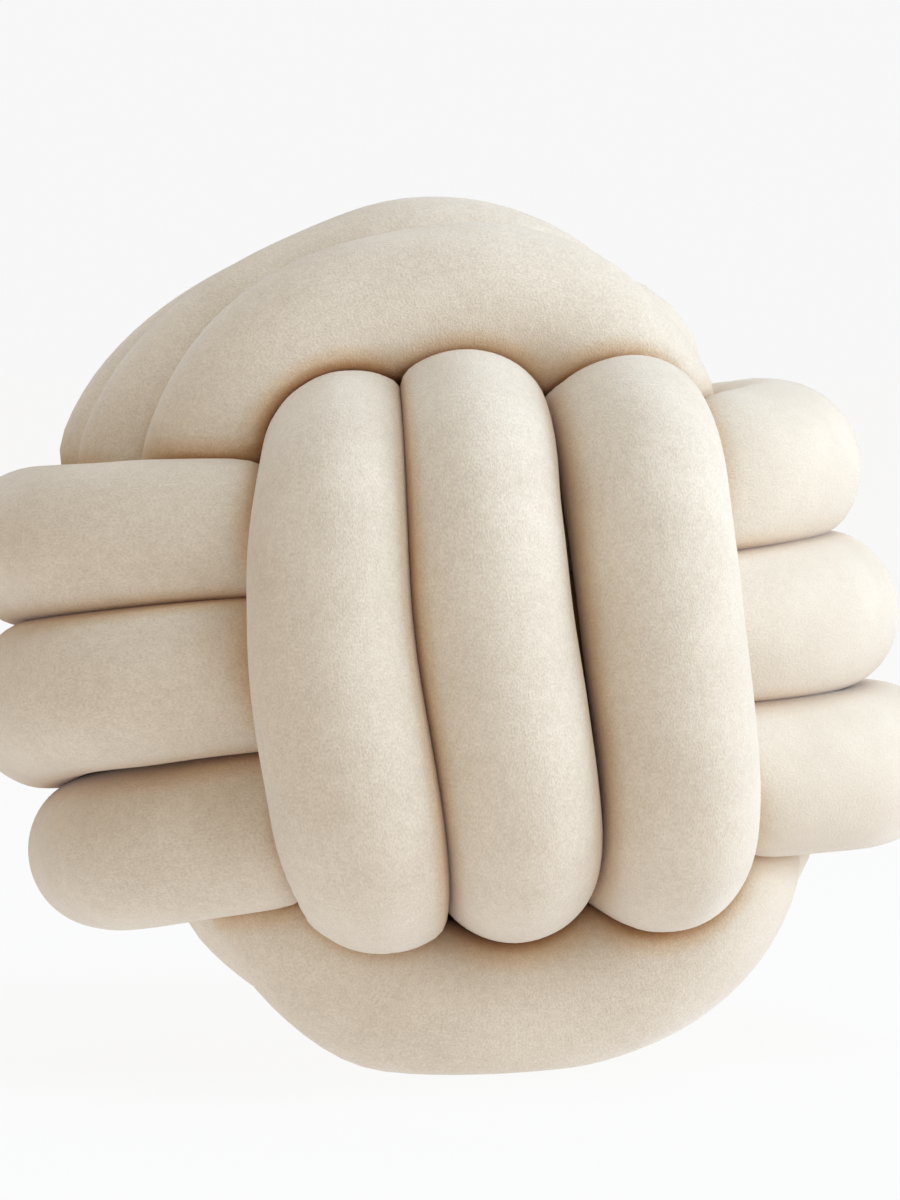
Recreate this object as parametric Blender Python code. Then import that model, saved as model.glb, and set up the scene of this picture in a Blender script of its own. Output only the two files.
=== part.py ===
"""Knot cushion: one long stuffed velvet tube, tied as a ball knot of three bands.

Each band is three turns of the tube, side by side. The top band lies over the front
band, the front band over the side band, and the side band over the top band. Between
two bands the tube passes through the core of the knot, where its ends are tucked in
as well. Runs that meet press each other flat, and the underside is flat where the
cushion rests.

Metres, +Z up, front towards -Y. The origin is on the surface that the cushion rests
on, below the middle of its box.
"""

import math
from dataclasses import dataclass

import bmesh
import bpy
import numpy as np

X, Y, Z = 0, 1, 2

# The tube
SIDES = 14  # flat faces round it
RINGS = 344  # cross sections from end to end
STEPS_PER_RING = 4  # points of the centre line for each cross section
PRESS_GAP = 0.0020  # left clear between two runs that press on each other
PRESS_CORNER = 18.0  # how sharply a section turns from its round side to a pressed one
KEPT_GIRTH = 0.90  # share of its girth that a pressed run keeps by swelling elsewhere
MOST_SWELL = 1.10  # the most that it swells to do so
END_LENGTH = 0.030  # over which each end closes
END_SHARE = 0.35  # of the girth, left at the closed end

# The knot
POINTS_PER_TURN = 180
LEAD = math.radians(32)  # how far from the middle of the covered side a band begins
CROSSING = math.radians(44)  # from that middle, where a turn moves over to the next place
SHOWN = 1.1  # a band has its full width only near the middle of its shown side
SETTLING = 0.045  # how much the lower half spreads, and the upper half narrows
HALF_HEIGHT = 0.12  # where that share is reached
BOW_REACH = 0.07  # above and below the middle height, where the bow is reached
BOW_END = 0.08  # and where it stops growing
PULL = 0.12  # how far a run keeps its heading as it enters or leaves the core
TUCK_POINTS = 40
SMOOTHING_ROUNDS = 8
CORE_GIRTH = 0.0340
COVERED = 0.65  # share of the way to the shown side within which a band is covered
COVERED_LOOSENESS = 0.6  # how far a covered run gives way, where a run in the core is 1
CORE_ROUNDS = 80  # of the runs in the core pushing each other apart
CORE_REACH = 0.045  # between two centre lines, where they stop pushing
CORE_STEP = 0.03
REST_DEPTH = 0.0045  # how far the surface presses the underside flat

CREAM = (0.73, 0.62, 0.48, 1.0)


@dataclass(frozen=True)
class Turn:
    """One turn of the tube, by its centre line. Metres, and degrees for the roll."""

    across: float  # its place in the width of the band
    long: float  # half size towards the sides where it shows
    short: float  # half size towards the sides where the next band covers it
    slide: float  # shift to the right
    rise: float  # shift upwards
    roll: float  # turned round the front-to-back axis
    girth_low: float  # radius of the tube on the shown side towards minus
    girth_high: float  # and on the shown side towards plus
    lean: float = 0.0  # how far it moves across the band while it shows
    bow: float = 0.0  # how far its top and bottom stand to the right of its middle height
    taper: float = 0.0  # share by which its girth grows towards plus on the covered axis


@dataclass(frozen=True)
class Band:
    """Three turns side by side, and how the band lies as a whole."""

    name: str
    long_axis: int
    short_axis: int
    across_axis: int
    squareness: float  # 2 is an ellipse, more is a rounder rectangle
    drawn_in: float  # share of its width that the band keeps where it is covered
    lean_on: float  # where in the turn a run starts to move across
    lean_length: float  # share of the turn that this takes
    lean_back: float  # where in the turn it starts to move back again
    yaw: float  # degrees round the upright axis
    turns: tuple


@dataclass(frozen=True)
class Tuck:
    """A point of the tube inside the core, and its heading there."""

    x: float
    y: float
    z: float
    heading_x: float
    heading_y: float
    heading_z: float


BANDS = (
    Band(
        name="top",
        long_axis=Z,
        short_axis=X,
        across_axis=Y,
        squareness=2.9,
        drawn_in=0.74,
        lean_on=0.10,
        lean_length=0.30,
        lean_back=0.60,
        yaw=0.0,
        # Across, long, short, slide, rise, roll, girths, and in some lean, bow and taper.
        turns=(
            Turn(-0.0520, 0.1155, 0.0777, -0.0017, -0.0015, 12.0, 0.0285, 0.0285),
            Turn(0.0000, 0.1189, 0.0891, 0.0011, 0.0035, 26.0, 0.0285, 0.0285),
            Turn(0.0520, 0.1155, 0.0897, -0.0027, 0.0021, 24.0, 0.0285, 0.0285),
        ),
    ),
    Band(
        name="side",
        long_axis=X,
        short_axis=Y,
        across_axis=Z,
        squareness=3.6,
        drawn_in=0.70,
        lean_on=0.10,
        lean_length=0.30,
        lean_back=0.70,
        yaw=0.0,
        turns=(
            Turn(-0.0565, 0.1290, 0.0790, 0.0090, -0.0035, 4.6, 0.0274, 0.0276, 0.017, 0.002, 0.03),
            Turn(-0.0045, 0.1305, 0.0850, -0.0055, -0.0055, 3.8, 0.0286, 0.0282, 0.025, 0.002),
            Turn(0.0500, 0.1280, 0.0790, -0.0115, -0.0050, 5.0, 0.0268, 0.0298, 0.010, 0.002, 0.05),
        ),
    ),
    Band(
        name="front",
        long_axis=Y,
        short_axis=Z,
        across_axis=X,
        squareness=3.6,
        drawn_in=0.72,
        lean_on=0.17,
        lean_length=0.18,
        lean_back=0.60,
        yaw=5.0,
        turns=(
            Turn(-0.0528, 0.1285, 0.0702, 0.0060, 0.0008, 0.0, 0.0281, 0.0285, 0.0127, 0.0090, -0.136),
            Turn(-0.0017, 0.1305, 0.0733, 0.0060, 0.0015, 0.0, 0.0280, 0.0285, 0.0168, 0.0025, 0.036),
            Turn(0.0549, 0.1285, 0.0724, 0.0060, 0.0024, 0.0, 0.0266, 0.0285, 0.0097, 0.0020, 0.027),
        ),
    ),
)

# The stops in the core before, between and after the bands.
TUCKS = (
    (
        Tuck(-0.034, 0.048, 0.008, 0.00, -0.12, 0.00),
        Tuck(-0.022, -0.028, -0.012, 0.10, -0.03, 0.00),
    ),
    (Tuck(0.032, 0.030, -0.015, -0.10, -0.02, -0.12),),
    (Tuck(-0.010, 0.034, 0.022, -0.06, -0.14, 0.06),),
    (Tuck(0.030, -0.020, 0.004, 0.02, -0.03, -0.12),),
)


def clear_scene():
    """Removes whatever the file starts with."""
    for item in list(bpy.data.objects):
        bpy.data.objects.remove(item, do_unlink=True)


def ease(share):
    """0 before 0, 1 after 1, and smooth between them."""
    share = np.clip(share, 0.0, 1.0)
    return share * share * (3.0 - 2.0 * share)


def band_line(band):
    """A band from where it leaves the core to where it enters it.

    The columns are X, Y, Z, girth and looseness, which is 0 where the band shows.
    """
    angle = np.linspace(
        math.pi / 2 + LEAD,
        math.pi / 2 + 2 * math.pi * len(band.turns) - LEAD,
        POINTS_PER_TURN * len(band.turns),
    )
    towards_long, towards_short = np.cos(angle), np.sin(angle)
    turned = (angle - math.pi / 2) / (2 * math.pi)
    in_turn = turned - np.floor(turned)

    window = CROSSING / (2 * math.pi)
    place = sum(
        ease((turned - number + window) / (2 * window))
        for number in range(1, len(band.turns))
    )

    def column(name):
        values = [getattr(turn, name) for turn in band.turns]
        return np.interp(place, range(len(values)), values)

    covered_width = ease(np.abs(towards_long) / SHOWN) / ease(1 / SHOWN)
    width = band.drawn_in + (1 - band.drawn_in) * covered_width
    back_length = min(0.30, 1 - band.lean_back)
    lean = column("lean") * (
        ease((in_turn - band.lean_on) / band.lean_length)
        - ease((in_turn - band.lean_back) / back_length)
        - 0.5
    )
    middle = sum(turn.across for turn in band.turns) / len(band.turns)
    across = middle + (column("across") - middle) * width + lean

    power = band.squareness
    reach = (
        np.abs(towards_long / column("long")) ** power
        + np.abs(towards_short / column("short")) ** power
    ) ** (-1 / power)
    points = np.zeros((len(angle), 3))
    points[:, band.long_axis] = reach * towards_long
    points[:, band.short_axis] = reach * towards_short
    points[:, band.across_axis] = across

    roll = np.radians(column("roll"))
    right, up = points[:, X].copy(), points[:, Z].copy()
    points[:, X] = right * np.cos(roll) - up * np.sin(roll) + column("slide")
    points[:, Z] = right * np.sin(roll) + up * np.cos(roll) + column("rise")
    points[:, X] += column("bow") * (np.minimum(np.abs(points[:, Z]), BOW_END) / BOW_REACH) ** 2
    points[:, X] += math.tan(math.radians(band.yaw)) * points[:, Y]
    spread = 1 - SETTLING * points[:, Z] / HALF_HEIGHT
    points[:, X] *= spread
    points[:, Y] *= spread

    low, high = column("girth_low"), column("girth_high")
    girth = low + (high - low) * ease((towards_long + 0.7) / 1.4)
    girth *= 1 + column("taper") * towards_short
    loose = COVERED_LOOSENESS * ease(1 - np.abs(towards_long) / COVERED)
    return np.column_stack((points, girth, loose))


def heading(from_point, to_point):
    """Unit vector from one point to the next."""
    step = to_point - from_point
    return step / np.linalg.norm(step)


def threaded(stops):
    """A run in the core, through (point, heading) stops. Its looseness is 1."""
    share = np.linspace(0, 1, TUCK_POINTS, endpoint=False)[1:, None]
    pieces = []
    for (start, start_pull), (end, end_pull) in zip(stops, stops[1:]):
        pieces.append(
            (2 * share**3 - 3 * share**2 + 1) * start
            + (share**3 - 2 * share**2 + share) * start_pull
            + (3 * share**2 - 2 * share**3) * end
            + (share**3 - share**2) * end_pull
        )
    points = np.concatenate(pieces)
    count = len(points)
    return np.column_stack((points, np.full(count, CORE_GIRTH), np.ones(count)))


def evenly(line, count):
    """The same line with its points at equal distances."""
    steps = np.linalg.norm(np.diff(line[:, :3], axis=0), axis=1)
    along = np.concatenate(([0.0], np.cumsum(steps)))
    wanted = np.linspace(0, along[-1], count)
    return np.column_stack([np.interp(wanted, along, column) for column in line.T])


def settled(line):
    """The line after its loose runs have pushed themselves clear of the other runs."""
    loose = np.flatnonzero(line[:, 4] > 0.01)
    points = line[:, :3]
    spacing = np.linalg.norm(points[1] - points[0])
    along = np.abs(loose[:, None] - np.arange(len(points))) * spacing
    for _ in range(CORE_ROUNDS):
        away = points[loose, None] - points
        distance = np.linalg.norm(away, axis=2) + 1e-9
        short = np.where(along > 2 * CORE_REACH, np.maximum(CORE_REACH - distance, 0.0), 0.0)
        push = (away * (short / distance)[:, :, None]).sum(axis=1)
        points[loose] += CORE_STEP * line[loose, 4:] * push * spacing / CORE_REACH
        inner = loose[(loose > 0) & (loose < len(points) - 1)]
        pulled = 0.5 * (points[inner - 1] + points[inner + 1]) - points[inner]
        points[inner] += 0.3 * line[inner, 4:] * pulled
    return line


def tube_line():
    """Centre line of the whole tube, with the columns that its runs have."""
    runs = [band_line(band) for band in BANDS]
    pieces = []
    for number, tucks in enumerate(TUCKS):
        stops = [
            (np.array((t.x, t.y, t.z)), np.array((t.heading_x, t.heading_y, t.heading_z)))
            for t in tucks
        ]
        if number > 0:
            run = runs[number - 1][:, :3]
            stops.insert(0, (run[-1], heading(run[-2], run[-1]) * PULL))
        if number < len(runs):
            run = runs[number][:, :3]
            stops.append((run[0], heading(run[0], run[1]) * PULL))
        pieces.append(threaded(stops))
        if number < len(runs):
            pieces.append(runs[number])
    line = evenly(np.concatenate(pieces), RINGS * STEPS_PER_RING)
    for _ in range(SMOOTHING_ROUNDS):
        line[1:-1] = 0.25 * line[:-2] + 0.5 * line[1:-1] + 0.25 * line[2:]
    return evenly(settled(line), RINGS * STEPS_PER_RING)


def unit(vectors):
    """The vectors at length 1."""
    return vectors / np.linalg.norm(vectors, axis=-1, keepdims=True)


def directions(points):
    """Two unit vectors square to the line at each point, carried along it without twist."""
    tangent = unit(np.gradient(points, axis=0))
    first = np.zeros_like(points)
    first[0] = unit(np.cross(tangent[0], (0.3, 0.2, 1.0)))
    for index in range(1, len(points)):
        carried = first[index - 1] - tangent[index] * (first[index - 1] @ tangent[index])
        first[index] = unit(carried)
    return first, np.cross(tangent, first)


def room_around(points, girth, rays):
    """How far each ray from each point of the line can go before it meets another run.

    The limit is the plane midway between two points of the line, less half of the gap.
    """
    spacing = np.linalg.norm(points[1] - points[0])
    room = np.full(rays.shape[:2], 1.0)
    for row in range(len(points)):
        away = points - points[row]
        distance = np.linalg.norm(away, axis=1)
        along = np.abs(np.arange(len(points)) - row) * spacing
        near = (along > 0.3 * girth[row]) & (distance < 4.5 * girth[row])
        away, distance, along = away[near], distance[near], along[near]
        gap = np.where(along > 2.5 * girth[row], PRESS_GAP, 0.0)
        plane = 0.5 * distance * (distance - gap)
        facing = rays[row] @ away.T
        limit = np.where(facing > 1e-6, plane / np.maximum(facing, 1e-6), 1.0)
        room[row] = np.maximum(limit.min(axis=1), 0.0005)
    return room


def least_nearby(room, reach):
    """The least room among the rows up to reach away on either side."""
    least = room.copy()
    for step in range(1, reach + 1):
        least[step:] = np.minimum(least[step:], room[:-step])
        least[:-step] = np.minimum(least[:-step], room[step:])
    return least


def pressed(room, size):
    """Radius of each ray: round where there is room, and pressed where there isn't."""
    return (room**-PRESS_CORNER + size[:, None] ** -PRESS_CORNER) ** (-1 / PRESS_CORNER)


def tube_faces(rings, sides):
    """Triangles between each ring of points and the next, and over both ends."""
    faces = []
    for start in range(0, (rings - 1) * sides, sides):
        for side in range(sides):
            here, beside = start + side, start + (side + 1) % sides
            faces.append((here, beside, beside + sides))
            faces.append((here, beside + sides, here + sides))
    last = (rings - 1) * sides
    for side in range(1, sides - 1):
        faces.append((0, side + 1, side))
        faces.append((last, last + side, last + side + 1))
    return faces


def sections():
    """Points of every cross section of the tube, RINGS by SIDES by 3."""
    line = tube_line()
    points, girth = line[:, :3], line[:, 3]
    first, second = directions(points)
    rows = np.linspace(0, len(points) - 1, RINGS).round().astype(int)
    angle = np.linspace(0, 2 * math.pi, SIDES, endpoint=False)[None, :, None]
    rays = np.cos(angle) * first[:, None] + np.sin(angle) * second[:, None]
    room = least_nearby(room_around(points, girth, rays), STEPS_PER_RING // 2)[rows]
    rays = rays[rows]

    size = girth[rows].copy()
    for _ in range(4):
        kept = np.sqrt((pressed(room, size) ** 2).mean(axis=1)) / girth[rows]
        size = size * (KEPT_GIRTH / kept) ** 0.8
        size = np.clip(size, girth[rows], girth[rows] * MOST_SWELL)
    size[1:-1] = (size[:-2] + size[1:-1] + size[2:]) / 3
    radius = pressed(room, size)

    spacing = np.linalg.norm(points[1] - points[0])
    to_end = np.minimum(rows, len(points) - 1 - rows) * spacing
    closing = 1 - np.minimum(to_end / END_LENGTH, 1.0)
    radius *= (END_SHARE + (1 - END_SHARE) * np.sqrt(1 - closing**2))[:, None]
    return points[rows][:, None] + radius[:, :, None] * rays


def set_down(points):
    """The knot moved to its origin, with the underside flat where it rests."""
    lowest, highest = points.min(axis=(0, 1)), points.max(axis=(0, 1))
    middle = (lowest + highest) / 2
    points = points - (middle[X], middle[Y], lowest[Z] + REST_DEPTH)
    points[:, :, Z] = np.maximum(points[:, :, Z], 0.0)
    return points


def lofted(name, rings, collection, material):
    """A closed object from cross sections of any shape, joined in order."""
    shell = bmesh.new()
    corners = [shell.verts.new(point) for point in rings.reshape(-1, 3)]
    for face in tube_faces(*rings.shape[:2]):
        shell.faces.new([corners[corner] for corner in face])
    bmesh.ops.recalc_face_normals(shell, faces=shell.faces)
    mesh = bpy.data.meshes.new(name)
    shell.to_mesh(mesh)
    shell.free()
    mesh.materials.append(material)
    mesh.shade_smooth()
    item = bpy.data.objects.new(name, mesh)
    collection.objects.link(item)
    return item


def velvet():
    """Cream short-pile velvet."""
    material = bpy.data.materials.new("cream_velvet")
    material.use_nodes = True
    shader = material.node_tree.nodes["Principled BSDF"]
    shader.inputs["Base Color"].default_value = CREAM
    shader.inputs["Roughness"].default_value = 0.9
    shader.inputs["Metallic"].default_value = 0.0
    return material


def main():
    clear_scene()
    collection = bpy.data.collections.new("knot_cushion")
    bpy.context.scene.collection.children.link(collection)
    lofted("knotted_tube", set_down(sections()), collection, velvet())


main()
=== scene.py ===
"""Knot cushion in cream velvet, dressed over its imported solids.

One long stuffed velvet tube is tied as a ball of three bands of three turns. The top
band lies over the front band, the front band over the side band, and the side band
over the top band. The tube's runs press each other flat where they meet, so the
surface is worked out from the tube's centre line: each cross section is round where it
has room, and stops halfway to the next run where it hasn't.
"""

import logging
import math
from dataclasses import dataclass
from enum import Enum, IntEnum
from typing import Any

import bmesh
import bpy
import numpy as np
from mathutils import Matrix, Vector, noise

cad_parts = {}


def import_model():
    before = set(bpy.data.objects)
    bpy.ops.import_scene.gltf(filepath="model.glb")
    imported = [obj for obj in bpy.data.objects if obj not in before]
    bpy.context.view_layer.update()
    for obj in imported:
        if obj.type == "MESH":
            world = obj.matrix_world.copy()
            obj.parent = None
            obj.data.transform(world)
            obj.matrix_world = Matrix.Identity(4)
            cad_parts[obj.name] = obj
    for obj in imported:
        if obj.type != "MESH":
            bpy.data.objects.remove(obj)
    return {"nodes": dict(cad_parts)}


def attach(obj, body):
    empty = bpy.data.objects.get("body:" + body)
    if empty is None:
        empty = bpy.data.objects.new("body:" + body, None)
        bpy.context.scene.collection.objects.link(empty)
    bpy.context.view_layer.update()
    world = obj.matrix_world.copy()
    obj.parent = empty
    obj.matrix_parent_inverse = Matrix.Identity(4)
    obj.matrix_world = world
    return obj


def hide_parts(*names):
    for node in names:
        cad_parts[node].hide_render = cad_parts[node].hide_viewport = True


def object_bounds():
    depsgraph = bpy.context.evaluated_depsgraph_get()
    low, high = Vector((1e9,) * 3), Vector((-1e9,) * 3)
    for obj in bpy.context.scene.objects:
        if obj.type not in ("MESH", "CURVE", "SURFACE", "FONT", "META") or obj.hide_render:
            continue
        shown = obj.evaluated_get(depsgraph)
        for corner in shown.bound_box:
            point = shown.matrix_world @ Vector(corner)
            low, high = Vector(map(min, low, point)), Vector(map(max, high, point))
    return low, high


frame: dict[str, Any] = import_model()
cad_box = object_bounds()

Array = np.ndarray
Colour = tuple[float, float, float]
Socket = bpy.types.NodeSocket
log = logging.getLogger("knot_cushion")


class Axis(IntEnum):
    """An axis of the frame, as the index of its column."""

    X = 0
    Y = 1
    Z = 2


class Column(IntEnum):
    """What the columns of a run of the centre line after its three places hold."""

    GIRTH = 3
    LOOSENESS = 4


class Piece(Enum):
    """The names that the scene's objects go by."""

    TUBE = "velvet_tube"
    FLOOR = "studio_floor"


class Layer(Enum):
    """The names of what the tube's mesh carries for its finish."""

    CLOTH = "round_and_along"
    CLEARANCE = "clearance"


def ease(share: Array) -> Array:
    """Goes smoothly from 0 to 1 as the share does.

    Args:
        share: Any numbers; those outside 0 to 1 count as the nearer of the two.

    Returns:
        The eased numbers.
    """
    share = np.clip(share, 0.0, 1.0)
    return share * share * (3.0 - 2.0 * share)


def unit(vectors: Array) -> Array:
    """Gives the vectors length 1.

    Args:
        vectors: Vectors along the last axis.

    Returns:
        The same directions.
    """
    return vectors / np.linalg.norm(vectors, axis=-1, keepdims=True)


def evenly(line: Array, count: int) -> Array:
    """Places a line's points at equal distances.

    Args:
        line: Rows of X, Y, Z and any further columns.
        count: How many points it gets.

    Returns:
        The same line with its columns interpolated.
    """
    steps = np.linalg.norm(np.diff(line[:, :3], axis=0), axis=1)
    along = np.concatenate(([0.0], np.cumsum(steps)))
    wanted = np.linspace(0, along[-1], count)
    return np.column_stack([np.interp(wanted, along, column) for column in line.T])


@dataclass(frozen=True)
class Turn:
    """One turn of the tube, by its centre line. Metres, and degrees for the roll.

    Attributes:
        across: Its place in the width of the band.
        long: Half size towards the sides where it shows.
        short: Half size towards the sides where the next band covers it.
        slide: Shift to the right.
        rise: Shift upwards.
        roll: How far it is turned round the front-to-back axis.
        girth_low: Radius of the tube on the shown side towards minus.
        girth_high: Radius on the shown side towards plus.
        lean: How far it moves across the band while it shows.
        bow: How far its top and bottom stand to the right of its middle height.
        taper: Share by which its girth grows towards plus on the covered axis.
    """

    across: float
    long: float
    short: float
    slide: float
    rise: float
    roll: float
    girth_low: float
    girth_high: float
    lean: float = 0.0
    bow: float = 0.0
    taper: float = 0.0


@dataclass(frozen=True)
class Band:
    """Three turns side by side, and how the band lies as a whole.

    Attributes:
        long_axis: Towards the sides where it shows.
        short_axis: Towards the sides where it is covered.
        across_axis: Along its width.
        squareness: 2 is an ellipse, and more is a rounder rectangle.
        drawn_in: Share of its width that it keeps where it is covered.
        lean_on: Where in the turn a run starts to move across.
        lean_length: Share of the turn that this takes.
        lean_back: Where in the turn it starts to move back again.
        yaw: Degrees round the vertical axis.
        turns: The turns in order along the tube.
        points_per_turn: Points of the centre line for each turn.
        LEAD: Angle by which the band starts late and ends early.
        CROSSING: Angle on each side of the covered middle in which a turn steps to the next.
        SHOWN: The cosine of the angle round the band at which it would be widest.
        COVERED: The cosine below which a run counts as covered.
        COVERED_LOOSENESS: How freely the core may push a covered run.
        SPREAD: Share by which the ball narrows at SPREAD_HEIGHT, and widens below.
        SPREAD_HEIGHT: Height above the ball's middle.
        BOW_REACH: Height at which a bow has its full size.
        BOW_END: Height past which it grows no more.
        GIRTH_EDGE: The cosine at which the girth has reached girth_high, or girth_low behind.
        LONGEST_RETURN: The most of a turn that a run takes to lean back.
    """

    long_axis: Axis
    short_axis: Axis
    across_axis: Axis
    squareness: float
    drawn_in: float
    lean_on: float
    lean_length: float
    lean_back: float
    yaw: float
    turns: tuple[Turn, ...]
    points_per_turn: int = 180

    LEAD = math.radians(32)
    CROSSING = math.radians(44)
    SHOWN = 1.1
    COVERED = 0.65
    COVERED_LOOSENESS = 0.6
    SPREAD = 0.045
    SPREAD_HEIGHT = 0.12
    BOW_REACH = 0.07
    BOW_END = 0.08
    GIRTH_EDGE = 0.7
    LONGEST_RETURN = 0.30

    def run(self) -> Array:
        """Works out the band from where it leaves the core to where it enters it.

        Returns:
            Rows of X, Y, Z, girth and looseness.
        """
        count = len(self.turns)
        angle = np.linspace(
            math.pi / 2 + self.LEAD,
            math.pi / 2 + 2 * math.pi * count - self.LEAD,
            self.points_per_turn * count,
        )
        place = self._place(angle)
        points = self._ring(angle, place)
        self._set(points, place)
        low, high = self._blend("girth_low", place), self._blend("girth_high", place)
        edge = self.GIRTH_EDGE
        girth = low + (high - low) * ease((np.cos(angle) + edge) / (2 * edge))
        girth *= 1 + self._blend("taper", place) * np.sin(angle)
        covered = ease(1 - np.abs(np.cos(angle)) / self.COVERED)
        return np.column_stack((points, girth, self.COVERED_LOOSENESS * covered))

    def _place(self, angle: Array) -> Array:
        """Says which turn each point is on, with a smooth step from turn to turn.

        Args:
            angle: Angles round the band, from the middle of its covered side.

        Returns:
            0 for the first turn, 1 for the second, and so on.
        """
        turned = (angle - math.pi / 2) / (2 * math.pi)
        window = self.CROSSING / (2 * math.pi)
        steps = [
            ease((turned - number + window) / (2 * window))
            for number in range(1, len(self.turns))
        ]
        return np.sum(steps, axis=0)

    def _blend(self, name: str, place: Array) -> Array:
        """Reads a size of the turns at each place between them.

        Args:
            name: The size's name in Turn.
            place: Places as _place gives them.

        Returns:
            The size at each place.
        """
        values = [getattr(turn, name) for turn in self.turns]
        return np.interp(place, range(len(values)), values)

    def _ring(self, angle: Array, place: Array) -> Array:
        """Draws the turns as rounded rectangles, side by side.

        Args:
            angle: Angles round the band.
            place: Which turn each point is on.

        Returns:
            Points before the band is rolled and shifted.
        """
        towards_long, towards_short = np.cos(angle), np.sin(angle)
        in_turn = np.mod((angle - math.pi / 2) / (2 * math.pi), 1.0)
        width = ease(np.abs(towards_long) / self.SHOWN) / ease(np.array(1 / self.SHOWN))
        width = self.drawn_in + (1 - self.drawn_in) * width
        back_length = min(self.LONGEST_RETURN, 1 - self.lean_back)
        over = ease((in_turn - self.lean_on) / self.lean_length)
        back = ease((in_turn - self.lean_back) / back_length)
        lean = self._blend("lean", place) * (over - back - 0.5)
        middle = sum(turn.across for turn in self.turns) / len(self.turns)
        across = middle + (self._blend("across", place) - middle) * width
        power = self.squareness
        reach = (
            np.abs(towards_long / self._blend("long", place)) ** power
            + np.abs(towards_short / self._blend("short", place)) ** power
        ) ** (-1 / power)
        points = np.zeros((len(angle), 3))
        points[:, self.long_axis] = reach * towards_long
        points[:, self.short_axis] = reach * towards_short
        points[:, self.across_axis] = across + lean
        return points

    def _set(self, points: Array, place: Array) -> None:
        """Rolls, shifts, bows, yaws and spreads the turns, in place.

        Args:
            points: Points as _ring gives them.
            place: Which turn each point is on.
        """
        roll = np.radians(self._blend("roll", place))
        right, up = points[:, Axis.X].copy(), points[:, Axis.Z].copy()
        slide, rise = self._blend("slide", place), self._blend("rise", place)
        points[:, Axis.X] = right * np.cos(roll) - up * np.sin(roll) + slide
        points[:, Axis.Z] = right * np.sin(roll) + up * np.cos(roll) + rise
        high = np.minimum(np.abs(points[:, Axis.Z]), self.BOW_END)
        points[:, Axis.X] += self._blend("bow", place) * (high / self.BOW_REACH) ** 2
        points[:, Axis.X] += math.tan(math.radians(self.yaw)) * points[:, Axis.Y]
        spread = 1 - self.SPREAD * points[:, Axis.Z] / self.SPREAD_HEIGHT
        points[:, : Axis.Z] *= spread[:, None]


@dataclass(frozen=True)
class Tuck:
    """A point of the tube inside the core, and its heading there."""

    x: float
    y: float
    z: float
    heading_x: float
    heading_y: float
    heading_z: float

    def stop(self) -> tuple[Array, Array]:
        """Gives the point and the heading as vectors."""
        heading = (self.heading_x, self.heading_y, self.heading_z)
        return np.array((self.x, self.y, self.z)), np.array(heading)


@dataclass(frozen=True)
class Core:
    """How the tube passes through the middle of the knot.

    Attributes:
        tucks: The stops before, between and after the bands.
        girth: Radius of a run there, where it has room.
        pull: How far a run keeps its heading as it enters or leaves.
        rounds: How often the runs push each other apart.
        reach: Distance between two centre lines at which they stop pushing.
        step: How far a push moves a run.
        pull_straight: How much of each kink is taken out in a round.
        points_per_stretch: Points of the centre line between two stops.
        FIRM: The looseness up to which a point isn't pushed.
        NOWHERE: A distance that is small enough to count as none, in metres.
    """

    tucks: tuple[tuple[Tuck, ...], ...]
    girth: float = 0.0340
    pull: float = 0.12
    rounds: int = 80
    reach: float = 0.045
    step: float = 0.03
    pull_straight: float = 0.3
    points_per_stretch: int = 40

    FIRM = 0.01
    NOWHERE = 1e-9

    def passage(self, number: int, before: Array | None, after: Array | None) -> Array:
        """Threads the tube from one band to the next.

        Args:
            number: Which of the passages it is.
            before: The run of the band that it leaves, or None at the start.
            after: The run of the band that it enters, or None at the end.

        Returns:
            Rows of X, Y, Z, girth and looseness.
        """
        stops = [tuck.stop() for tuck in self.tucks[number]]
        if before is not None:
            heading = unit(before[-1, :3] - before[-2, :3]) * self.pull
            stops.insert(0, (before[-1, :3], heading))
        if after is not None:
            heading = unit(after[1, :3] - after[0, :3]) * self.pull
            stops.append((after[0, :3], heading))
        t = np.linspace(0, 1, self.points_per_stretch, endpoint=False)[1:, None]
        stretches = [
            (2 * t**3 - 3 * t**2 + 1) * start
            + (t**3 - 2 * t**2 + t) * start_pull
            + (3 * t**2 - 2 * t**3) * end
            + (t**3 - t**2) * end_pull
            for (start, start_pull), (end, end_pull) in zip(stops, stops[1:])
        ]
        points = np.concatenate(stretches)
        ones = np.ones(len(points))
        return np.column_stack((points, self.girth * ones, ones))

    def settle(self, line: Array) -> None:
        """Lets the loose runs push themselves clear of the other runs, in place.

        Args:
            line: The whole centre line, with its points at equal distances.
        """
        looseness = line[:, Column.LOOSENESS]
        loose = np.flatnonzero(looseness > self.FIRM)
        inner = loose[(loose > 0) & (loose < len(line) - 1)]
        points = line[:, :3]
        spacing = np.linalg.norm(points[1] - points[0])
        along = np.abs(loose[:, None] - np.arange(len(points))) * spacing
        for _ in range(self.rounds):
            away = points[loose, None] - points
            distance = np.linalg.norm(away, axis=2) + self.NOWHERE
            short = np.maximum(self.reach - distance, 0.0)
            short[along <= 2 * self.reach] = 0.0
            push = (away * (short / distance)[:, :, None]).sum(axis=1)
            strength = self.step * spacing / self.reach
            points[loose] += strength * looseness[loose, None] * push
            kink = 0.5 * (points[inner - 1] + points[inner + 1]) - points[inner]
            points[inner] += self.pull_straight * looseness[inner, None] * kink


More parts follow.
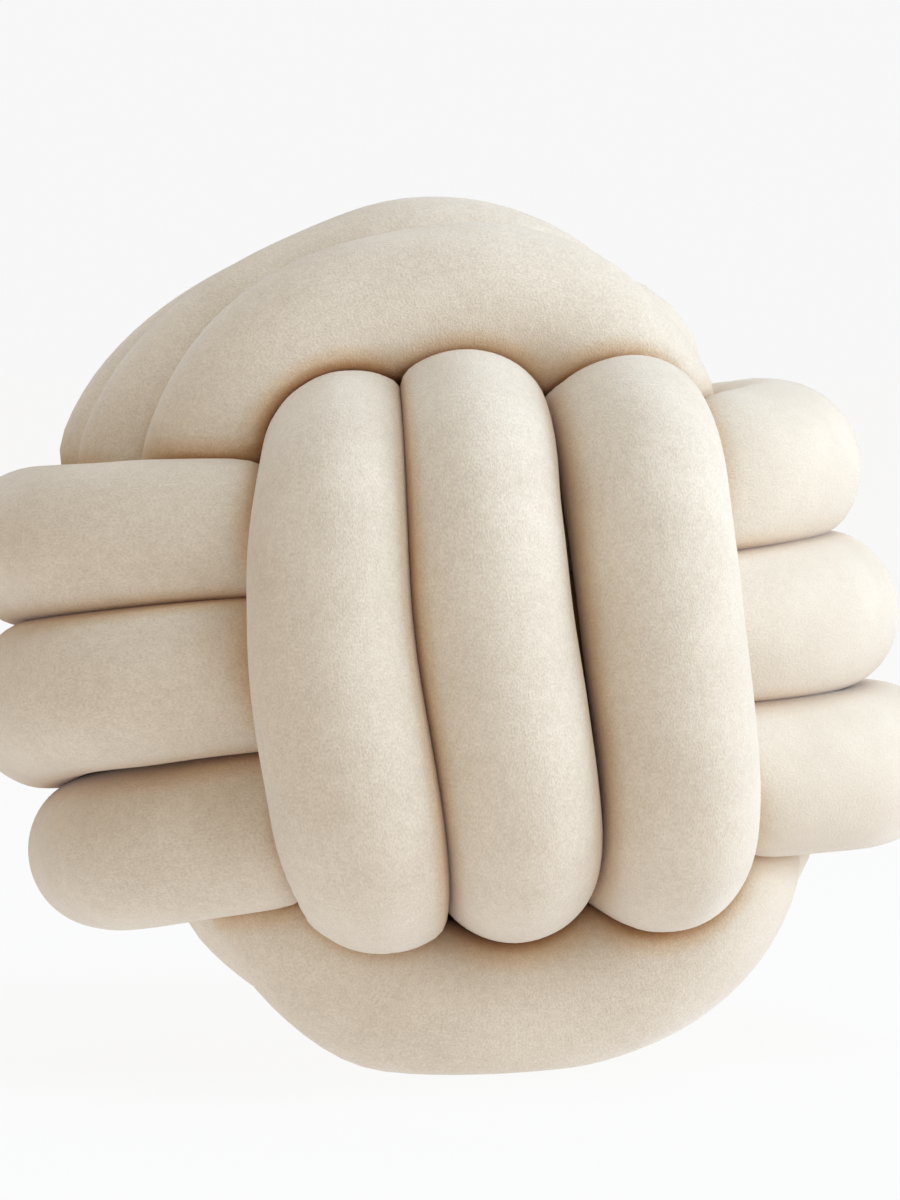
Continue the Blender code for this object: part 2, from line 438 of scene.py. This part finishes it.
@dataclass(frozen=True)
class Route:
    """The centre line of the whole tube.

    Attributes:
        bands: The bands in order along the tube.
        core: The passages before, between and after them.
        count: Points from end to end.
        smoothing: How often each point moves towards its neighbours.
    """

    bands: tuple[Band, ...]
    core: Core
    count: int = 1376
    smoothing: int = 8

    def line(self) -> Array:
        """Joins the runs and settles them.

        Returns:
            Rows of X, Y, Z, girth and looseness, at equal distances.
        """
        runs: list[Array | None] = [None, *(band.run() for band in self.bands), None]
        pieces = []
        for number, (before, after) in enumerate(zip(runs, runs[1:])):
            pieces.append(self.core.passage(number, before, after))
            if after is not None:
                pieces.append(after)
        line = evenly(np.concatenate(pieces), self.count)
        for _ in range(self.smoothing):
            line[1:-1] = 0.25 * line[:-2] + 0.5 * line[1:-1] + 0.25 * line[2:]
        self.core.settle(line)
        return evenly(line, self.count)


@dataclass
class Skin:
    """The tube's surface, by place along it and place round it.

    Attributes:
        points: Its points.
        clearance: How far each can go on before it meets another run.
    """

    points: Array
    clearance: Array


@dataclass(frozen=True)
class Stuffing:
    """How the filling holds the tube's section against the runs beside it.

    Attributes:
        gap: Left clear between two runs that press on each other. Less than nothing
            lets the pile of the two mesh.
        corner: How sharply a section turns from its round side to a pressed one.
        kept: Share of its girth that a pressed run keeps by swelling elsewhere.
        swell: The most that it swells to do so.
        lump: Height of the filling's unevenness, as a share of the girth.
        lump_size: Its size along the surface, in metres.
        end_length: Length over which each end of the tube closes.
        end_share: Share of the girth left at the closed end.
        most_clearance: The clearance that a point in the open counts as having.
        own_reach: Girths along the tube within which a run's own line doesn't press it.
        press_from: Girths along the tube past which another run keeps the gap.
        press_to: Girths away past which another run can't reach.
        least_room: The least that a section keeps, in metres.
        open_room: The room of a ray that meets nothing, in metres.
        swell_rounds: How often the swelling is worked out anew.
        swell_pull: How far each of those rounds goes.
        swell_window: Points of the line that the swelling is evened over.
        fine_lump: Size and height of the finer lumps, as a share of the others.
        evening_rounds: How often the sections' corners are taken off.
        SIDEWAYS: The least share of a ray that faces a run that it can meet.
        ASIDE: A direction that the tube doesn't start in, to which the first ray is square.
    """

    gap: float = -0.0010
    corner: float = 30.0
    kept: float = 0.90
    swell: float = 1.10
    lump: float = 0.022
    lump_size: float = 0.030
    end_length: float = 0.030
    end_share: float = 0.35
    most_clearance: float = 0.02
    own_reach: float = 0.3
    press_from: float = 2.5
    press_to: float = 4.5
    least_room: float = 0.0005
    open_room: float = 1.0
    swell_rounds: int = 4
    swell_pull: float = 0.8
    swell_window: int = 13
    fine_lump: float = 0.4
    evening_rounds: int = 2

    SIDEWAYS = 1e-6
    ASIDE = (0.3, 0.2, 1.0)

    def room(self, points: Array, girth: Array, rays: Array) -> Array:
        """Finds how far each ray can go before it meets another run.

        The limit is the plane midway between two points of the line, less half the gap.

        Args:
            points: The centre line.
            girth: The tube's radius at each point.
            rays: Unit vectors round each point.

        Returns:
            The room along each ray.
        """
        spacing = np.linalg.norm(points[1] - points[0])
        room = np.full(rays.shape[:2], self.open_room)
        for row in range(len(points)):
            away = points - points[row]
            distance = np.linalg.norm(away, axis=1)
            along = np.abs(np.arange(len(points)) - row) * spacing
            beyond_own = along > self.own_reach * girth[row]
            near = beyond_own & (distance < self.press_to * girth[row])
            away, distance, along = away[near], distance[near], along[near]
            gap = np.where(along > self.press_from * girth[row], self.gap, 0.0)
            plane = 0.5 * distance * (distance - gap)
            facing = rays[row] @ away.T
            met = plane / np.maximum(facing, self.SIDEWAYS)
            limit = np.where(facing > self.SIDEWAYS, met, self.open_room)
            room[row] = np.maximum(limit.min(axis=1), self.least_room)
        return room

    def press(self, room: Array, size: Array) -> Array:
        """Rounds each ray where there is room, and presses it where there isn't.

        Args:
            room: The room along each ray.
            size: The radius that each ray would have in the open.

        Returns:
            The radius along each ray.
        """
        return (room**-self.corner + size**-self.corner) ** (-1 / self.corner)

    def swollen(self, room: Array, girth: Array) -> Array:
        """Swells the pressed sections, so that they keep most of their filling.

        Args:
            room: The room along each ray.
            girth: The tube's radius at each point.

        Returns:
            The radius that each section would have in the open.
        """
        size = girth.copy()
        for _ in range(self.swell_rounds):
            left = np.sqrt((self.press(room, size[:, None]) ** 2).mean(axis=1)) / girth
            wanted = size * (self.kept / left) ** self.swell_pull
            size = np.clip(wanted, girth, girth * self.swell)
        window = np.ones(self.swell_window) / self.swell_window
        padded = np.pad(size, self.swell_window // 2, mode="edge")
        return np.convolve(padded, window, mode="valid")

    def lumps(self, surface: Array) -> Array:
        """Works out the slight unevenness of the filling.

        Args:
            surface: Points of the surface.

        Returns:
            The share by which the radius differs at each point.
        """
        fine = self.fine_lump
        values = [
            noise.noise(Vector(point) / self.lump_size)
            + fine * noise.noise(Vector(point) / (fine * self.lump_size))
            for point in surface.reshape(-1, 3)
        ]
        return self.lump * np.array(values).reshape(surface.shape[:2])

    def skin(self, line: Array, sides: int) -> Skin:
        """Works out every cross section of the tube.

        Args:
            line: The centre line, as a route gives it.
            sides: Points round each section.

        Returns:
            The surface round the middle of the knot.
        """
        points, girth = line[:, :3], line[:, Column.GIRTH]
        rays = self._rays(points, sides)
        room = self.room(points, girth, rays)
        size = self.swollen(room, girth)[:, None]
        lumps = self.lumps(points[:, None] + size[:, :, None] * rays)
        radius = self.press(room, size * (1 + lumps))
        for _ in range(self.evening_rounds):
            radius = self._evened(radius, room)
        spacing = np.linalg.norm(points[1] - points[0])
        row = np.arange(len(points))
        to_end = np.minimum(row, row[::-1]) * spacing
        closing = 1 - np.minimum(to_end / self.end_length, 1.0)
        share = self.end_share + (1 - self.end_share) * np.sqrt(1 - closing**2)
        surface = points[:, None] + (radius * share[:, None])[:, :, None] * rays
        return Skin(surface, np.minimum(room - radius, self.most_clearance))

    @staticmethod
    def _rays(points: Array, sides: int) -> Array:
        """Points a fan of rays square to the line, carried along it without twist.

        Args:
            points: The centre line.
            sides: How many rays each point gets.

        Returns:
            Unit vectors, by point and ray.
        """
        tangent = unit(np.gradient(points, axis=0))
        first = np.zeros_like(points)
        first[0] = unit(np.cross(tangent[0], Stuffing.ASIDE))
        for row in range(1, len(points)):
            carried = first[row - 1] - tangent[row] * (first[row - 1] @ tangent[row])
            first[row] = unit(carried)
        second = np.cross(tangent, first)
        angle = np.linspace(0, 2 * math.pi, sides, endpoint=False)[None, :, None]
        return np.cos(angle) * first[:, None] + np.sin(angle) * second[:, None]

    @staticmethod
    def _evened(radius: Array, room: Array) -> Array:
        """Takes the sharpest corners off the sections, without leaving their room.

        Args:
            radius: The radius along each ray.
            room: The room along each ray.

        Returns:
            The evened radius.
        """
        padded = np.concatenate((radius[:1], radius, radius[-1:]))
        radius = 0.25 * padded[:-2] + 0.5 * radius + 0.25 * padded[2:]
        beside = np.roll(radius, 1, axis=1) + np.roll(radius, -1, axis=1)
        return np.minimum(0.5 * radius + 0.25 * beside, room)


@dataclass(frozen=True)
class Noise:
    """A noise pattern of the cloth.

    Attributes:
        size: The size of its features, in metres.
        detail: How many finer layers it has.
        roughness: How strong they are.
    """

    size: float
    detail: float
    roughness: float


@dataclass(frozen=True)
class Span:
    """The part of a value's range that counts.

    Attributes:
        low: Where it starts. It may be above high, and the value then counts down.
        high: Where it ends.
    """

    low: float
    high: float


@dataclass(frozen=True)
class Graph:
    """Short ways to add nodes to a material.

    Attributes:
        tree: The material's nodes.
    """

    tree: bpy.types.NodeTree

    def add(self, kind: str, links: dict[str, Socket], **values: Any) -> bpy.types.Node:
        """Adds a node.

        Args:
            kind: Its type.
            links: What its inputs are linked to, by their names.
            **values: What its other inputs are set to, with _ for each space.

        Returns:
            The node.
        """
        node = self.tree.nodes.new(kind)
        for name, source in links.items():
            self.tree.links.new(source, node.inputs[name])
        for name, value in values.items():
            node.inputs[name.replace("_", " ")].default_value = value
        return node

    def noise(self, place: Socket, pattern: Noise) -> Socket:
        """Adds a noise texture.

        Args:
            place: The coordinates that it reads, in metres.
            pattern: Its size and detail.

        Returns:
            Its value, about 0.5 on average.
        """
        node = self.add(
            "ShaderNodeTexNoise",
            {"Vector": place},
            Scale=1 / pattern.size,
            Detail=pattern.detail,
            Roughness=pattern.roughness,
        )
        return node.outputs["Fac"]

    def mixed(self, first: Socket, second: Socket, share: float) -> Socket:
        """Mixes two values.

        Args:
            first: The one value.
            second: The other value.
            share: How much of the second there is.

        Returns:
            The mix.
        """
        node = self.add("ShaderNodeMix", {"A": first, "B": second}, Factor=share)
        return node.outputs["Result"]

    def stretched(
        self, value: Socket, span: Span, start: float = 0.0, end: float = 1.0
    ) -> Socket:
        """Goes smoothly from one number to another as a value crosses its span.

        Args:
            value: The value.
            span: The part of its range that counts.
            start: What it gives at the span's low.
            end: What it gives at the span's high.

        Returns:
            The stretched value.
        """
        node = self.tree.nodes.new("ShaderNodeMapRange")
        node.interpolation_type = "SMOOTHSTEP"
        node.inputs["From Min"].default_value = span.low
        node.inputs["From Max"].default_value = span.high
        node.inputs["To Min"].default_value = start
        node.inputs["To Max"].default_value = end
        self.tree.links.new(value, node.inputs["Value"])
        return node.outputs["Result"]

    def tinted(self, colour: Socket, tint: Colour, share: Socket) -> Socket:
        """Multiplies a colour by a tint where the share says so.

        Args:
            colour: The colour.
            tint: The tint.
            share: From 0, not at all, to 1, wholly.

        Returns:
            The tinted colour.
        """
        node = self.tree.nodes.new("ShaderNodeMix")
        node.data_type = "RGBA"
        node.blend_type = "MULTIPLY"
        sockets = {item.identifier: item for item in node.inputs}
        self.tree.links.new(share, sockets["Factor_Float"])
        self.tree.links.new(colour, sockets["A_Color"])
        sockets["B_Color"].default_value = (*tint, 1.0)
        return next(item for item in node.outputs if item.identifier == "Result_Color")


@dataclass(frozen=True)
class Velvet:
    """Short cream pile on a knitted ground. Sizes are in metres.

    Attributes:
        name: The material's name.
        pale: The colour of the pile's tips.
        deep: The colour between the tufts.
        tan: Colour multiplied in where the surface goes down between two runs: painted crease shade.
        painted_crease_umber: Colour multiplied in further down: darker painted crease shade.
        painted_crease_brown: Colour multiplied in where the surface meets the next run: the darkest
            painted crease shade.
        patches: Pattern of the patches that a hand has brushed one way.
        patch_span: The part of that pattern's range that counts.
        patch_share: How much of the shade follows the patches, and not the pile.
        tufts: Pattern of the pile's clumps.
        grain: Pattern of the pile's grain.
        grain_share: How much of the pile's height is grain, and not clumps.
        nap_span: The part of the height's range that shades the pile.
        streak: How much longer the grain is along the tube than round it.
        rib: Distance between the knitted rows under the pile.
        rib_wander: How far the rows stray from straight.
        rib_detail: How many finer layers that straying has.
        rib_detail_scale: How fine it is.
        rib_share: How much of the height the rows make.
        girth: Length round the tube.
        length: Length of the tube.
        painted_crease_tan_reach: The clearance at which the first step of painted crease shade ends.
        painted_crease_umber_reach: The clearance at which the second, darker step ends.
        painted_crease_brown_reach: The clearance at which the darkest step ends.
        painted_light_span: From where the colour starts to wash out, towards the right, to where
            it is most washed out: painted light on the brightly lit right side.
        painted_light_fade: Share of its grain and of its painted crease shade that it loses there.
        painted_light_shade: The even shade that the washed-out colour goes to there.
        roughness: How dull the pile is.
        gloss: Strength of its plain reflection.
        sheen: Strength of the light along its edges.
        sheen_roughness: How wide that light spreads.
        sheen_tint: Its colour.
        bump: Strength of the pile's bump.
        pile_height: Height of the bump.
    """

    name: str = "cream_velvet"
    pale: Colour = (0.81, 0.72, 0.60)
    deep: Colour = (0.61, 0.515, 0.405)
    tan: Colour = (0.92, 0.77, 0.59)
    painted_crease_umber: Colour = (0.68, 0.47, 0.30)
    painted_crease_brown: Colour = (0.45, 0.27, 0.15)
    patches: Noise = Noise(size=0.026, detail=2.0, roughness=0.55)
    patch_span: Span = Span(0.30, 0.70)
    patch_share: float = 0.22
    tufts: Noise = Noise(size=0.0028, detail=3.0, roughness=0.6)
    grain: Noise = Noise(size=0.0007, detail=2.0, roughness=0.7)
    grain_share: float = 0.65
    nap_span: Span = Span(0.28, 0.72)
    streak: float = 1.15
    rib: float = 0.0012
    rib_wander: float = 1.6
    rib_detail: float = 2.0
    rib_detail_scale: float = 0.8
    rib_share: float = 0.012
    girth: float = 0.18
    length: float = 6.72
    painted_crease_tan_reach: float = 0.0100
    painted_crease_umber_reach: float = 0.0034
    painted_crease_brown_reach: float = 0.0008
    painted_light_span: Span = Span(0.045, 0.115)
    painted_light_fade: float = 0.72
    painted_light_shade: float = 0.55
    roughness: float = 0.92
    gloss: float = 0.12
    sheen: float = 0.45
    sheen_roughness: float = 0.50
    sheen_tint: Colour = (1.0, 0.99, 0.98)
    bump: float = 0.8
    pile_height: float = 0.0004

    def material(self) -> bpy.types.Material:
        """Builds the node material.

        Returns:
            The material.
        """
        material = bpy.data.materials.new(self.name)
        material.use_nodes = True
        graph = Graph(material.node_tree)
        shader = material.node_tree.nodes["Principled BSDF"]
        shader.inputs["Roughness"].default_value = self.roughness
        shader.inputs["Specular IOR Level"].default_value = self.gloss
        shader.inputs["Sheen Weight"].default_value = self.sheen
        shader.inputs["Sheen Roughness"].default_value = self.sheen_roughness
        shader.inputs["Sheen Tint"].default_value = (*self.sheen_tint, 1.0)
        height = self._pile(graph)
        graph.tree.links.new(self._colour(graph, height), shader.inputs["Base Color"])
        bump = graph.add(
            "ShaderNodeBump", {"Height": height}, Strength=self.bump, Distance=self.pile_height
        )
        graph.tree.links.new(bump.outputs["Normal"], shader.inputs["Normal"])
        return material

    def _pile(self, graph: Graph) -> Socket:
        """Works out the pile's height.

        Args:
            graph: The material's nodes.

        Returns:
            The height, about 0.5 on average.
        """
        cloth = graph.tree.nodes.new("ShaderNodeUVMap")
        cloth.uv_map = Layer.CLOTH.value
        flat = graph.add(
            "ShaderNodeMapping",
            {"Vector": cloth.outputs["UV"]},
            Scale=(self.girth, self.length / self.streak, 1.0),
        )
        place = flat.outputs["Vector"]
        tufts = graph.noise(place, self.tufts)
        grain = graph.noise(place, self.grain)
        # A wave at scale 1 has a row each pi / 10 of a metre.
        rows = graph.add(
            "ShaderNodeTexWave",
            {"Vector": place},
            Scale=math.pi / 10 / self.rib * self.streak,
            Distortion=self.rib_wander,
            Detail=self.rib_detail,
            Detail_Scale=self.rib_detail_scale,
        )
        rows.bands_direction = "Y"
        nap = graph.mixed(tufts, grain, self.grain_share)
        return graph.mixed(nap, rows.outputs["Fac"], self.rib_share)

    def _painted_light(self, graph: Graph) -> Socket:
        """Works out how far painted light washes out the colour on the right side.

        Args:
            graph: The material's nodes.

        Returns:
            From 1, not washed out, to less on the right, where painted light of the key lamp takes out
            grain and painted crease shade.
        """
        place = graph.tree.nodes.new("ShaderNodeTexCoord").outputs["Object"]
        split = graph.add("ShaderNodeSeparateXYZ", {"Vector": place})
        across = split.outputs["X"]
        return graph.stretched(across, self.painted_light_span, start=1.0, end=1.0 - self.painted_light_fade)

    def _colour(self, graph: Graph, height: Socket) -> Socket:
        """Works out the colour, with painted crease shade and a painted washed-out right side.

        Args:
            graph: The material's nodes.
            height: The pile's height.

        Returns:
            The colour.
        """
        place = graph.tree.nodes.new("ShaderNodeTexCoord").outputs["Object"]
        patches = graph.stretched(graph.noise(place, self.patches), self.patch_span)
        # Painted light: towards the right the grain and the crease shade fade out. This stands in for
        # the wash of the key lamp.
        away_from_painted_light = self._painted_light(graph)
        grain = graph.add(
            "ShaderNodeMix",
            {"Factor": away_from_painted_light, "B": graph.stretched(height, self.nap_span)},
            A=self.painted_light_shade,
        )
        shade = graph.mixed(grain.outputs["Result"], patches, self.patch_share)
        ramp = graph.add("ShaderNodeValToRGB", {"Fac": shade})
        ramp.color_ramp.elements[0].color = (*self.deep, 1.0)
        ramp.color_ramp.elements[1].color = (*self.pale, 1.0)
        layer = graph.tree.nodes.new("ShaderNodeAttribute")
        layer.attribute_name = Layer.CLEARANCE.value
        clearance = layer.outputs["Fac"]
        colour = ramp.outputs["Color"]
        # Painted crease shade: the colour is darkened in three warm steps as the clearance to the next
        # run closes. This stands in for the shade inside the creases.
        painted_crease_shades = (
            (self.tan, self.painted_crease_tan_reach),
            (self.painted_crease_umber, self.painted_crease_umber_reach),
            (self.painted_crease_brown, self.painted_crease_brown_reach),
        )
        for tint, reach in painted_crease_shades:
            near = graph.stretched(clearance, Span(reach, 0.0))
            share = graph.add("ShaderNodeMath", {})
            share.operation = "MULTIPLY"
            graph.tree.links.new(near, share.inputs[0])
            graph.tree.links.new(away_from_painted_light, share.inputs[1])
            colour = graph.tinted(colour, tint, share.outputs["Value"])
        return colour


@dataclass
class VelvetTube:
    """The stuffed tube, tied and set down. Metres.

    Attributes:
        route: Its centre line.
        stuffing: What gives it its sections.
        finish: Its velvet.
        sides: Points round each section.
        rest_depth: How far the surface presses the underside in.
        rest_softness: How gently the pressed underside rounds off.
        HALF_GRID: Half the side of the flat grid that is bent round the surface.
        JOINED: The distance at which two of its points count as one.
    """

    route: Route
    stuffing: Stuffing
    finish: Velvet
    sides: int = 64
    rest_depth: float = 0.0045
    rest_softness: float = 0.0015

    HALF_GRID = 0.5
    JOINED = 1e-7

    def build(self) -> bpy.types.Object:
        """Makes the tube's object.

        Returns:
            The finished object, at the origin.
        """
        skin = self.stuffing.skin(self.route.line(), self.sides)
        self._set_down(skin)
        mesh = bpy.data.meshes.new(Piece.TUBE.value)
        shell = self._shell(skin)
        shell.to_mesh(mesh)
        shell.free()
        mesh.materials.append(self.finish.material())
        mesh.shade_smooth()
        tube = bpy.data.objects.new(Piece.TUBE.value, mesh)
        bpy.context.scene.collection.objects.link(tube)
        return tube

    def _set_down(self, skin: Skin) -> None:
        """Moves the surface onto its packed box, with its underside pressed, in place.

        Args:
            skin: The surface round the middle of the knot.
        """
        points = skin.points
        low, high = points.min(axis=(0, 1)), points.max(axis=(0, 1))
        box = np.array(cad_box)
        shift = box.mean(axis=0) - (low + high) / 2
        shift[Axis.Z] = -low[Axis.Z] - self.rest_depth
        points += shift
        soft = self.rest_softness
        height = soft * np.logaddexp(0.0, points[:, :, Axis.Z] / soft)
        points[:, :, Axis.Z] = box[0, Axis.Z] + height - height.min()

    def _shell(self, skin: Skin) -> bmesh.types.BMesh:
        """Bends a grid round the surface, and closes it along its seam and at its ends.

        Args:
            skin: The surface in the frame.

        Returns:
            A closed mesh with its faces pointing out.
        """
        rows, sides = skin.clearance.shape
        shell = bmesh.new()
        shell.loops.layers.uv.new(Layer.CLOTH.value)
        clearance = shell.verts.layers.float.new(Layer.CLEARANCE.value)
        half = self.HALF_GRID
        bmesh.ops.create_grid(
            shell, x_segments=sides, y_segments=rows - 1, size=half, calc_uvs=True
        )
        for vertex in shell.verts:
            side = round((vertex.co.x + half) * sides) % sides
            row = round((vertex.co.y + half) * (rows - 1))
            vertex.co = skin.points[row, side]
            vertex[clearance] = skin.clearance[row, side]
        bmesh.ops.remove_doubles(shell, verts=shell.verts, dist=self.JOINED)
        rims = [edge for edge in shell.edges if edge.is_boundary]
        bmesh.ops.holes_fill(shell, edges=rims, sides=sides)
        bmesh.ops.recalc_face_normals(shell, faces=shell.faces)
        return shell


@dataclass(frozen=True)
class Lamp:
    """A soft studio light.

    Attributes:
        name: Its name.
        power: Watts.
        size: Side of its square panel, in metres.
        turn: Degrees round the cushion from the front, towards the right.
        height: Degrees above the cushion.
        distance: Metres from the cushion.
        colour: Its colour.
    """

    name: str
    power: float
    size: float
    turn: float
    height: float
    distance: float
    colour: Colour

    def place(self, target: Vector) -> bpy.types.Object:
        """Hangs the light, pointing at the target.

        Args:
            target: The point that it lights.

        Returns:
            The light.
        """
        data = bpy.data.lights.new(self.name, "AREA")
        data.energy = self.power
        data.size = self.size
        data.color = self.colour
        light = bpy.data.objects.new(self.name, data)
        back = direction(self.turn, self.height)
        light.location = target + self.distance * back
        light.rotation_euler = back.to_track_quat("Z", "Y").to_euler()
        bpy.context.scene.collection.objects.link(light)
        return light


def direction(turn: float, height: float) -> Vector:
    """Points from the cushion to a place round it.

    Args:
        turn: Degrees from the front, towards the right.
        height: Degrees above the floor.

    Returns:
        A unit vector.
    """
    around, up = math.radians(turn), math.radians(height)
    flat = math.cos(up)
    return Vector((math.sin(around) * flat, -math.cos(around) * flat, math.sin(up)))


@dataclass(frozen=True)
class Studio:
    """A plain pale floor, soft light and the camera.

    Attributes:
        turn: Degrees of the camera from the front, towards the right.
        height: Degrees of the camera above the cushion.
        distance: Metres from the camera to the cushion.
        lens: Focal length, in millimetres.
        sensor: Width of the camera's sensor, in millimetres.
        aim_right: How far right of the cushion's middle the camera aims.
        aim_up: How far above the cushion's middle it aims.
        floor_size: Side of the floor.
        floor_parts: How many parts each side is divided into.
        floor_drop: How far the floor lies below the cushion.
        paper: Brightness of the floor and of what lies behind the cushion.
        floor_shade: How pale the floor is where light falls on it.
        air: Colour and brightness of the light from all round.
        lamps: The lights.
    """

    turn: float = -10.0
    height: float = 3.0
    distance: float = 1.85
    lens: float = 161.1
    sensor: float = 36.0
    aim_right: float = -0.0012
    aim_up: float = 0.0089
    floor_size: float = 40.0
    floor_parts: int = 8
    floor_drop: float = 0.0005
    paper: float = 0.935
    floor_shade: float = 0.06
    air: Colour = (0.465, 0.383, 0.284)
    lamps: tuple[Lamp, ...] = (
        Lamp("key_light", 44.0, 1.2, 75.0, 14.0, 2.4, (0.67, 0.81, 0.98)),
        Lamp("front_light", 8.0, 1.2, 35.0, 22.0, 2.4, (0.76, 0.88, 1.0)),
        Lamp("top_light", 26.0, 1.2, 32.0, 60.0, 2.4, (0.61, 0.80, 1.0)),
        Lamp("back_light", 11.0, 1.4, 180.0, 60.0, 2.4, (0.60, 0.79, 1.0)),
    )

    def build(self) -> None:
        """Sets up the floor, the light and the camera."""
        low, high = (Vector(corner) for corner in cad_box)
        middle = (low + high) / 2
        self._floor(low.z)
        self._air()
        for lamp in self.lamps:
            lamp.place(middle)
        self._camera(middle)
        bpy.context.scene.view_settings.view_transform = "Standard"

    def _floor(self, level: float) -> None:
        """Lays the floor.

        Args:
            level: Its height.
        """
        surface = bmesh.new()
        parts, half = self.floor_parts, self.floor_size / 2
        bmesh.ops.create_grid(surface, x_segments=parts, y_segments=parts, size=half)
        drop = Vector((0.0, 0.0, level - self.floor_drop))
        bmesh.ops.translate(surface, vec=drop, verts=surface.verts)
        mesh = bpy.data.meshes.new(Piece.FLOOR.value)
        surface.to_mesh(mesh)
        surface.free()
        material = bpy.data.materials.new("pale_floor")
        material.use_nodes = True
        shader = material.node_tree.nodes["Principled BSDF"]
        shader.inputs["Base Color"].default_value = (*[self.floor_shade] * 3, 1.0)
        shader.inputs["Roughness"].default_value = 1.0
        shader.inputs["Specular IOR Level"].default_value = 0.0
        shader.inputs["Emission Color"].default_value = (1.0, 1.0, 1.0, 1.0)
        # Far off, the floor is as bright as what lies behind it, so no edge shows.
        own = self.paper - self.floor_shade * sum(self.air) / 3
        shader.inputs["Emission Strength"].default_value = own
        mesh.materials.append(material)
        floor = bpy.data.objects.new(Piece.FLOOR.value, mesh)
        bpy.context.scene.collection.objects.link(floor)

    def _air(self) -> None:
        """Fills the studio with even light, in front of plain pale paper."""
        world = bpy.data.worlds.new("studio_air")
        world.use_nodes = True
        graph = Graph(world.node_tree)
        light = world.node_tree.nodes["Background"]
        light.inputs["Color"].default_value = (*self.air, 1.0)
        paper = graph.add("ShaderNodeBackground", {}, Color=(*[self.paper] * 3, 1.0))
        seen = graph.tree.nodes.new("ShaderNodeLightPath").outputs["Is Camera Ray"]
        both = graph.tree.nodes.new("ShaderNodeMixShader")
        graph.tree.links.new(seen, both.inputs[0])
        graph.tree.links.new(light.outputs[0], both.inputs[1])
        graph.tree.links.new(paper.outputs[0], both.inputs[2])
        out = world.node_tree.nodes["World Output"]
        graph.tree.links.new(both.outputs[0], out.inputs["Surface"])
        bpy.context.scene.world = world

    def _camera(self, middle: Vector) -> None:
        """Places the camera.

        Args:
            middle: The middle of the cushion.
        """
        back = direction(self.turn, self.height)
        turn = math.radians(self.turn)
        right = Vector((math.cos(turn), math.sin(turn), 0.0))
        up = back.cross(right)
        aim = middle + self.aim_right * right + self.aim_up * up
        data = bpy.data.cameras.new("camera")
        data.lens = self.lens
        data.sensor_width = self.sensor
        data.sensor_fit = "AUTO"
        camera = bpy.data.objects.new("camera", data)
        camera.location = aim + self.distance * back
        camera.rotation_euler = back.to_track_quat("Z", "Y").to_euler()
        bpy.context.scene.collection.objects.link(camera)
        bpy.context.scene.camera = camera


def knot_route() -> Route:
    """Gives the sizes of the three bands and of the passages through the core.

    Returns:
        The tube's route.
    """
    top = Band(
        long_axis=Axis.Z,
        short_axis=Axis.X,
        across_axis=Axis.Y,
        squareness=2.9,
        drawn_in=0.74,
        lean_on=0.10,
        lean_length=0.30,
        lean_back=0.60,
        yaw=0.0,
        turns=(
            Turn(-0.0520, 0.1155, 0.0777, -0.0017, -0.0015, 12.0, 0.0285, 0.0285),
            Turn(0.0000, 0.1189, 0.0891, 0.0011, 0.0035, 26.0, 0.0285, 0.0285),
            Turn(0.0520, 0.1155, 0.0897, -0.0027, 0.0021, 24.0, 0.0285, 0.0285),
        ),
    )
    side = Band(
        long_axis=Axis.X,
        short_axis=Axis.Y,
        across_axis=Axis.Z,
        squareness=3.6,
        drawn_in=0.70,
        lean_on=0.10,
        lean_length=0.30,
        lean_back=0.70,
        yaw=0.0,
        turns=(
            Turn(-0.0565, 0.1290, 0.0790, 0.0090, -0.0035, 4.6, 0.0274, 0.0276, 0.017, 0.002, 0.03),
            Turn(-0.0045, 0.1305, 0.0850, -0.0055, -0.0055, 3.8, 0.0286, 0.0282, 0.025, 0.002),
            Turn(0.0500, 0.1280, 0.0790, -0.0115, -0.0050, 5.0, 0.0268, 0.0298, 0.010, 0.002, 0.05),
        ),
    )
    front = Band(
        long_axis=Axis.Y,
        short_axis=Axis.Z,
        across_axis=Axis.X,
        squareness=3.6,
        drawn_in=0.72,
        lean_on=0.17,
        lean_length=0.18,
        lean_back=0.60,
        yaw=5.0,
        turns=(
            Turn(-0.0528, 0.1285, 0.0702, 0.0060, 0.0008, 0.0, 0.0281, 0.0285, 0.0127, 0.0090, -0.136),
            Turn(-0.0017, 0.1305, 0.0733, 0.0060, 0.0015, 0.0, 0.0280, 0.0285, 0.0168, 0.0025, 0.036),
            Turn(0.0549, 0.1285, 0.0724, 0.0060, 0.0024, 0.0, 0.0266, 0.0285, 0.0097, 0.0020, 0.027),
        ),
    )
    core = Core(
        tucks=(
            (
                Tuck(-0.034, 0.048, 0.008, 0.00, -0.12, 0.00),
                Tuck(-0.022, -0.028, -0.012, 0.10, -0.03, 0.00),
            ),
            (Tuck(0.032, 0.030, -0.015, -0.10, -0.02, -0.12),),
            (Tuck(-0.010, 0.034, 0.022, -0.06, -0.14, 0.06),),
            (Tuck(0.030, -0.020, 0.004, 0.02, -0.03, -0.12),),
        )
    )
    return Route(bands=(top, side, front), core=core)


def main() -> None:
    """Builds the cushion and the studio round it."""
    logging.basicConfig(level=logging.INFO, format="%(name)s: %(message)s")
    tube = VelvetTube(route=knot_route(), stuffing=Stuffing(), finish=Velvet()).build()
    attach(tube, "root")
    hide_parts("knotted_tube")
    log.info("%s has %d faces", tube.name, len(tube.data.polygons))
    Studio().build()
    log.info("the studio is set up")


if __name__ == "__main__":
    main()
